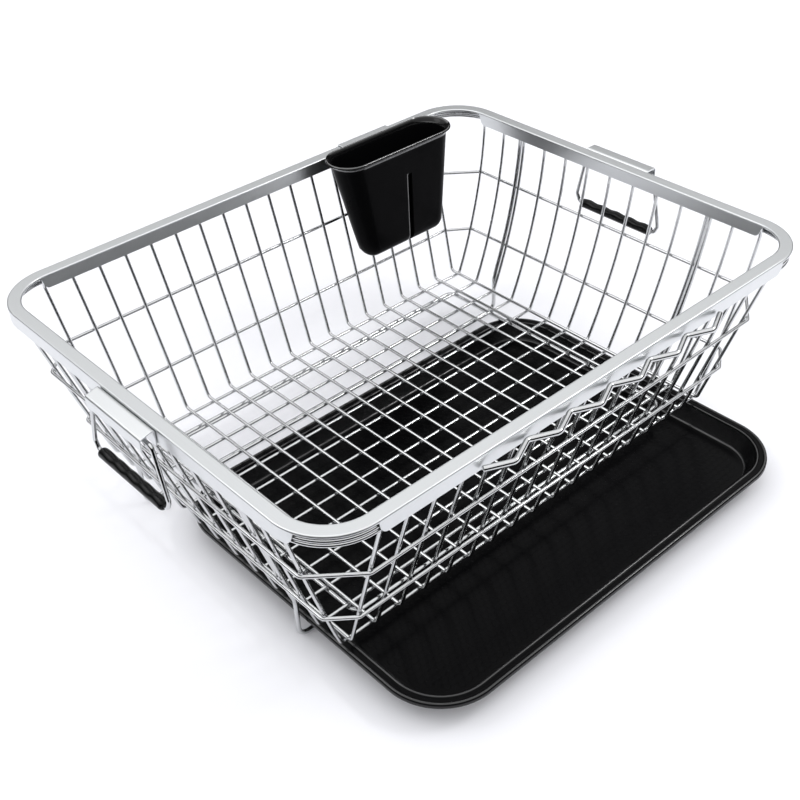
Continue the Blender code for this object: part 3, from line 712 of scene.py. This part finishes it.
wall_z = np.concatenate([np.linspace(CUP_FLARE_Z - 1.5 * MM, CUP_SLOT_TOP, 6),
                         np.linspace(CUP_SLOT_TOP, cup_low.z + CUP_ROUND, 9)[1:]])
foot_turn = np.linspace(0, np.pi / 2, 9)[1:]
foot_z = cup_low.z + CUP_ROUND * (1 - np.sin(foot_turn))
foot_in = CUP_ROUND * (1 - np.cos(foot_turn))
# the lip from its rolled edge down the flare to the wall, as (share of the way in, height)
lip_share = np.array([0.0, 0.03, 0.10, 0.22, 0.5, 0.8, 0.93, 1.0])
lip_height = np.array([3.3, 4.3, 4.8, 4.9, 3.4, 1.4, 0.4, -0.7]) * MM
lip_in = np.array([0.0, 0.1, 0.3, 0.6, 1.2, 1.5, 1.6, 1.6]) * MM
lip_box = mix(CUP_LIP, CUP_MOUTH, lip_share[:, None])
rows_box = np.concatenate([lip_box, cup_body(wall_z), cup_body(foot_z)])
rows_in = np.concatenate([lip_in, np.full(len(wall_z), CUP_WALL), foot_in + CUP_WALL])
rows_z = np.concatenate([CUP_FLARE_Z + lip_height, wall_z, foot_z + CUP_WALL])
cup_flat = oval(rows_box, rows_in)
cup_points = np.concatenate([cup_flat, np.broadcast_to(rows_z[:, None, None],
                                                       cup_flat.shape[:2] + (1,))], 2)
cup_points += (0, BASKET_Y, 0)
columns = cup_points.shape[1]
cup_index = np.arange(cup_points.shape[0] * columns).reshape(-1, columns)
next_column = np.roll(cup_index, -1, 1)
cup_quads = np.stack([cup_index[:-1], next_column[:-1], next_column[1:], cup_index[1:]], -1)
front = cup_flat[len(lip_share), :, 1] < CUP_MOUTH[2] + FRONT_DEPTH
slot_column = np.where(front & (np.abs(cup_flat[0, :, 0] - CUP_SLOT[0]) < HAIR))[0][0]
in_slot = np.zeros(cup_quads.shape[:2], bool)
in_slot[rows_z[:-1] <= CUP_SLOT_TOP + HAIR, slot_column] = True
cup_faces = cup_quads[~in_slot].tolist() + [cup_index[-1].tolist()]
cup_uv = np.concatenate([cup_points.reshape(-1, 3)[f][:, [0, 2]] for f in cup_faces])
cup = add_piece("cutlery_cup_moulded", cup_points, cup_faces, cup_uv, black_cup, "cutlery_cup",
                ("cutlery_cup",), sharp=60)
wall = cup.modifiers.new("Wall", "SOLIDIFY")
wall.thickness = CUP_WALL
wall.offset = -1.0
edge = cup.modifiers.new("Edge", "BEVEL")
edge.width, edge.segments = 0.6 * MM, 3
edge.limit_method, edge.angle_limit = "ANGLE", math.radians(45)
edge.harden_normals = True


# ---- Cup hook ---------------------------------------------------------------------------------
# A strip of satin sheet bent over the rim. It is fixed to the back of the cup and carries it.

hook_low, hook_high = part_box("cutlery_cup_hook")
HOOK_SHEET, HOOK_FOLD, HOOK_LIP_Z = 1.0 * MM, 1.0 * MM, 176 * MM
inner_y, outer_y = hook_low.y + HOOK_SHEET / 2, hook_high.y - HOOK_SHEET / 2
top_z = hook_high.z - HOOK_SHEET / 2
profile = [(inner_y, hook_low.z), (inner_y, top_z), (outer_y, top_z), (outer_y, HOOK_LIP_Z)]
points, lengths, widths = folded_strip(profile, HOOK_FOLD, HOOK_SHEET, hook_low.x, hook_high.x,
                                       [2, 0, 1])
faces, uv = outward_faces(points, *skin(points, lengths, widths, False, True))
add_piece("cutlery_cup_hook_folded", points, faces, uv, satin_sheet, "cutlery_cup",
          ("cutlery_cup_hook",))


# ---- Drip tray --------------------------------------------------------------------------------
# A shallow vacuum-formed tray of black plastic. Its edge turns down in a hem, two narrow beads
# run round the rim, and the floor is embossed with small hexagons.

tray_low, tray_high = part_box("drip_tray")
TRAY_CORNER = 50 * MM
TRAY_SHEET = 1.8 * MM
tray_half = np.array([(tray_high.x - tray_low.x) / 2, (tray_high.y - tray_low.y) / 2])
tray_middle = ((tray_high.x + tray_low.x) / 2, (tray_high.y + tray_low.y) / 2, 0)
tray_floor = tray_low.z + TRAY_SHEET

# Black ABS sheet, vacuum formed: glossy on the drawn walls and on the beads, dull on the floor
# and between the beads.
black_tray = new_material("formed_black_tray", Base_Color=srgb("#060607"))
tray_place = add_node(black_tray, "ShaderNodeTexCoord")
tray_grain = add_node(black_tray, "ShaderNodeTexNoise", {"Scale": 900.0, "Detail": 3.0},
                      {"Vector": (tray_place, "Object")})
add_node(black_tray, "ShaderNodeBump", {"Strength": 0.2, "Distance": 0.06 * MM},
         {"Height": (tray_grain, "Fac")}, "Normal")
tray_sweep = add_node(black_tray, "ShaderNodeTexNoise", {"Scale": 18.0, "Detail": 2.0},
                      {"Vector": (tray_place, "Object")})
add_node(black_tray, "ShaderNodeMapRange", {"To Min": 0.16, "To Max": 0.28},
         {"Value": (tray_sweep, "Fac")}, "Roughness")
tray_split = add_node(black_tray, "ShaderNodeSeparateXYZ", None,
                      {"Vector": (tray_place, "Object")})
tray_level = add_node(black_tray, "ShaderNodeMapRange",
                      {"From Min": tray_floor, "From Max": tray_high.z},
                      {"Value": (tray_split, "Z")})
tray_shine = add_node(black_tray, "ShaderNodeValToRGB", None, {"Fac": (tray_level, "Result")},
                      "Specular IOR Level")
# (share of the way up, shine): dull floor, glossy wall, duller band, bright crests on the band
for place, shine in ((0.0, 0.05), (0.022, 0.05), (0.035, 0.9), (0.09, 0.5), (0.85, 0.4),
                     (0.93, 0.05), (0.965, 0.06), (0.985, 0.7)):
    stop = tray_shine.color_ramp.elements.new(place)
    stop.color = (shine, shine, shine, 1)
tray_shine.color_ramp.elements.remove(tray_shine.color_ramp.elements[0])

centre, outward, along, past, face = rounded_outline(tray_half, TRAY_CORNER, 33, 4 * MM, 24 * MM)
# the sheet's upper side from its edge to the floor, as (distance in, drop from the rim's top)
tray_profile = np.array([
    (0.0, 4.0), (0.05, 1.6), (0.35, 0.6), (1.0, 0.1), (1.7, 0.0), (2.4, 0.2), (2.9, 0.7),
    (3.4, 0.9), (6.4, 0.9), (6.9, 0.6), (7.4, 0.1), (7.9, 0.0), (8.5, 0.2), (9.0, 0.8),
    (9.4, 1.8), (15.4, 13.0), (16.0, 14.3), (16.9, 15.1), (18.2, 15.5), (20.0, 15.7),
    (20.4, 15.7)]) * MM
step = np.gradient(tray_profile, axis=0)
step /= np.linalg.norm(step, axis=1, keepdims=True)
below = tray_profile + np.stack([-step[:, 1], step[:, 0]], 1) * TRAY_SHEET
below[0] = tray_profile[0] + (TRAY_SHEET, 0)
loop = np.concatenate([tray_profile, below[::-1]])
loop[:, 1] = np.minimum(loop[:, 1], tray_high.z - tray_low.z)
tray_points = carry_round(centre, outward, TRAY_CORNER,
                          np.repeat(loop[None, :, 0], len(along), 0),
                          tray_high.z - loop[:, 1], tray_middle)
faces, uv = outward_faces(tray_points, *skin(tray_points, along, np.arange(len(loop)) * MM,
                                             True, True))
# the strip that would join the two sides of the sheet is left out for the floor's two faces
count, columns = tray_points.shape[:2]
last = len(tray_profile) - 1
grid = np.arange(count * columns).reshape(count, columns)
keep = np.array([not (f[0] % columns == last and f[1] % columns == last + 1) for f in faces])
tray_faces = np.array(faces)[keep].tolist()
tray_faces += [grid[:, last].tolist(), grid[::-1, last + 1].tolist()]
flat = tray_points.reshape(-1, 3)
uv = np.concatenate([uv.reshape(-1, 4, 2)[keep].reshape(-1, 2), flat[tray_faces[-2]][:, :2],
                     flat[tray_faces[-1]][:, :2]])
add_piece("drip_tray_formed", tray_points, tray_faces, uv, black_tray, "drip_tray",
          ("drip_tray",), sharp=50)

# The floor's embossing: low hexagonal pads in staggered rows, each a sloped skirt and a top, sunk
# a hair into the floor.
PAD_PITCH, PAD_HIGH, PAD_SLOPE, PAD_GROOVE = 6.4 * MM, 0.22 * MM, 0.35 * MM, 0.9 * MM
PAD_MARGIN, PAD_SUNK = 20.5 * MM, 0.03 * MM
reach = tray_half - PAD_MARGIN
pad_columns, pad_rows = (np.ceil(2 * reach / (PAD_PITCH * np.array([1, math.sqrt(3) / 2]))) / 2
                         ).astype(int)
column, row = np.meshgrid(np.arange(-pad_columns, pad_columns + 1),
                          np.arange(-pad_rows, pad_rows + 1))
pad_centre = np.stack([(column + row % 2 / 2) * PAD_PITCH, row * PAD_PITCH * math.sqrt(3) / 2],
                      -1).reshape(-1, 2)
past_corner = np.maximum(np.abs(pad_centre) + PAD_PITCH / 2 - (tray_half - TRAY_CORNER), 0)
on_floor = ((np.hypot(*past_corner.T) < TRAY_CORNER - PAD_MARGIN)
            & (np.abs(pad_centre) + PAD_PITCH / 2 < reach).all(1))
pad_centre = pad_centre[on_floor]
spoke = math.pi / 6 + np.arange(6) * math.pi / 3
pad_radius = (PAD_PITCH - PAD_GROOVE) / math.sqrt(3)
hexagon = np.stack([np.cos(spoke), np.sin(spoke)], -1)
pad_flat = pad_centre[:, None] + np.concatenate([hexagon * pad_radius,
                                                 hexagon * (pad_radius - PAD_SLOPE)])
pad_z = np.repeat([-PAD_SUNK, PAD_HIGH], 6) + tray_floor
pad_points = np.concatenate([pad_flat, np.broadcast_to(pad_z[None, :, None],
                                                       pad_flat.shape[:2] + (1,))], 2)
pad_points += tray_middle
first = 12 * np.arange(len(pad_points))[:, None]
k = np.arange(6)
skirt = np.stack([k, (k + 1) % 6, (k + 1) % 6 + 6, k + 6], -1)
pad_skirts = (first[..., None] + skirt).reshape(-1, 4)
pad_tops = first + np.arange(6, 12)
pad_faces = pad_skirts.tolist() + pad_tops.tolist()
flat = pad_points.reshape(-1, 3)
pad_uv = np.concatenate([flat[pad_skirts.ravel()][:, :2], flat[pad_tops.ravel()][:, :2]])
add_piece("drip_tray_pads", pad_points, pad_faces, pad_uv, black_tray, "drip_tray",
          sharp=20)


# ---- Studio -----------------------------------------------------------------------------------
# A white table under an even pale sky, with a soft light over the far left and a small bright
# strip on the near right that draws the thin lines on the black plastic.

FLOOR_HALF = 7.0
floor_mesh = bpy.data.meshes.new("studio_floor")
floor_mesh.from_pydata([(-FLOOR_HALF, -FLOOR_HALF, 0), (FLOOR_HALF, -FLOOR_HALF, 0),
                        (FLOOR_HALF, FLOOR_HALF, 0), (-FLOOR_HALF, FLOOR_HALF, 0)], [],
                       [(0, 1, 2, 3)])
floor = bpy.data.objects.new("studio_floor", floor_mesh)
floor_mesh.materials.append(new_material("white_table", Base_Color=srgb("#f6f6fa"),
                                         Roughness=0.9))
bpy.context.scene.collection.objects.link(floor)

# Black flags that show only in reflections: a low wall all round, and a cloth on the near side
# of the table. They draw the dark lines along every wire.
FLAG_RADIUS, FLAG_HEIGHT, FLAG_SIDES = 5.0, 2.3, 48
VIEW_WAY = np.array([0.659, 0.752])          # the way the camera looks, seen from above
CLOTH_NEAR, CLOTH_FAR, CLOTH_HIGH = -0.47, -5.0, 0.5 * MM
across_way = np.array([VIEW_WAY[1], -VIEW_WAY[0]])
cloth = np.array([VIEW_WAY * CLOTH_NEAR - across_way * FLAG_RADIUS,
                  VIEW_WAY * CLOTH_NEAR + across_way * FLAG_RADIUS,
                  VIEW_WAY * CLOTH_FAR + across_way * FLAG_RADIUS,
                  VIEW_WAY * CLOTH_FAR - across_way * FLAG_RADIUS])
around = np.linspace(0, 2 * np.pi, FLAG_SIDES, endpoint=False)
ring = FLAG_RADIUS * np.stack([np.cos(around), np.sin(around)], 1)
k = np.arange(FLAG_SIDES)
wall_faces = np.stack([k, (k + 1) % FLAG_SIDES, (k + 1) % FLAG_SIDES + FLAG_SIDES,
                       k + FLAG_SIDES], 1)
black_cloth = new_material("black_velvet", Base_Color=srgb("#050505"), Roughness=1.0,
                           Specular_IOR_Level=0.0)
for flag_name, flag_points, flag_faces in (
        ("flag_cloth", np.column_stack([cloth, np.full(4, CLOTH_HIGH)]), [(0, 1, 2, 3)]),
        ("flag_wall", np.concatenate([np.column_stack([ring, np.zeros(FLAG_SIDES)]),
                                      np.column_stack([ring, np.full(FLAG_SIDES, FLAG_HEIGHT)])]),
         wall_faces.tolist())):
    flag_mesh = bpy.data.meshes.new(flag_name)
    flag_mesh.from_pydata(flag_points, [], flag_faces)
    flag_mesh.materials.append(black_cloth)
    flag = bpy.data.objects.new(flag_name, flag_mesh)
    flag.visible_camera = flag.visible_diffuse = flag.visible_shadow = False
    bpy.context.scene.collection.objects.link(flag)

world = bpy.data.worlds.new("studio")
bpy.context.scene.world = world
world.use_nodes = True
tree = world.node_tree
sky = tree.nodes.new("ShaderNodeTexCoord")
height = tree.nodes.new("ShaderNodeSeparateXYZ")
ramp = tree.nodes.new("ShaderNodeValToRGB")
tree.links.new(sky.outputs["Generated"], height.inputs[0])
tree.links.new(height.outputs["Z"], ramp.inputs["Fac"])
ramp.color_ramp.elements[0].position = 0.45
ramp.color_ramp.elements[0].color = (0.80, 0.805, 0.81, 1)
ramp.color_ramp.elements[1].position = 1.0
ramp.color_ramp.elements[1].color = (1.20, 1.205, 1.215, 1)
tree.links.new(ramp.outputs["Color"], tree.nodes["Background"].inputs["Color"])
tree.nodes["Background"].inputs["Strength"].default_value = 1.12


def softbox(name, location, aim, size, watts):
    light = bpy.data.lights.new(name, "AREA")
    light.shape = "RECTANGLE"
    light.size, light.size_y = size
    light.energy = watts
    lamp = bpy.data.objects.new(name, light)
    bpy.context.scene.collection.objects.link(lamp)
    lamp.location = location
    direction = np.array(aim) - np.array(location)
    lamp.rotation_euler = Vector(direction).to_track_quat("-Z", "Y").to_euler()


softbox("key_light", (-0.9, 1.0, 1.7), (0, 0, 0), (0.9, 0.9), 4)
softbox("strip_light", (1.2, -0.7, 1.5), (0, 0, 0), (0.6, 0.18), 6)

# the camera, in metres from the middle of the basket, and its turns in degrees

CAMERA_PLACE = (-0.546353, -0.609504 + BASKET_Y, 0.676343)
CAMERA_AZIMUTH, CAMERA_TILT, CAMERA_ROLL = (math.radians(a) for a in (-41.2202, 52.7383, -2.2220))
camera_data = bpy.data.cameras.new("camera")
camera_data.sensor_width = 36
camera_data.lens = 53.612
camera = bpy.data.objects.new("camera", camera_data)
bpy.context.scene.collection.objects.link(camera)
camera.matrix_world = (Matrix.Translation(CAMERA_PLACE)
                       @ Matrix.Rotation(CAMERA_AZIMUTH, 4, "Z")
                       @ Matrix.Rotation(CAMERA_TILT, 4, "X")
                       @ Matrix.Rotation(CAMERA_ROLL, 4, "Z"))
bpy.context.scene.camera = camera
bpy.context.scene.view_settings.view_transform = "Standard"
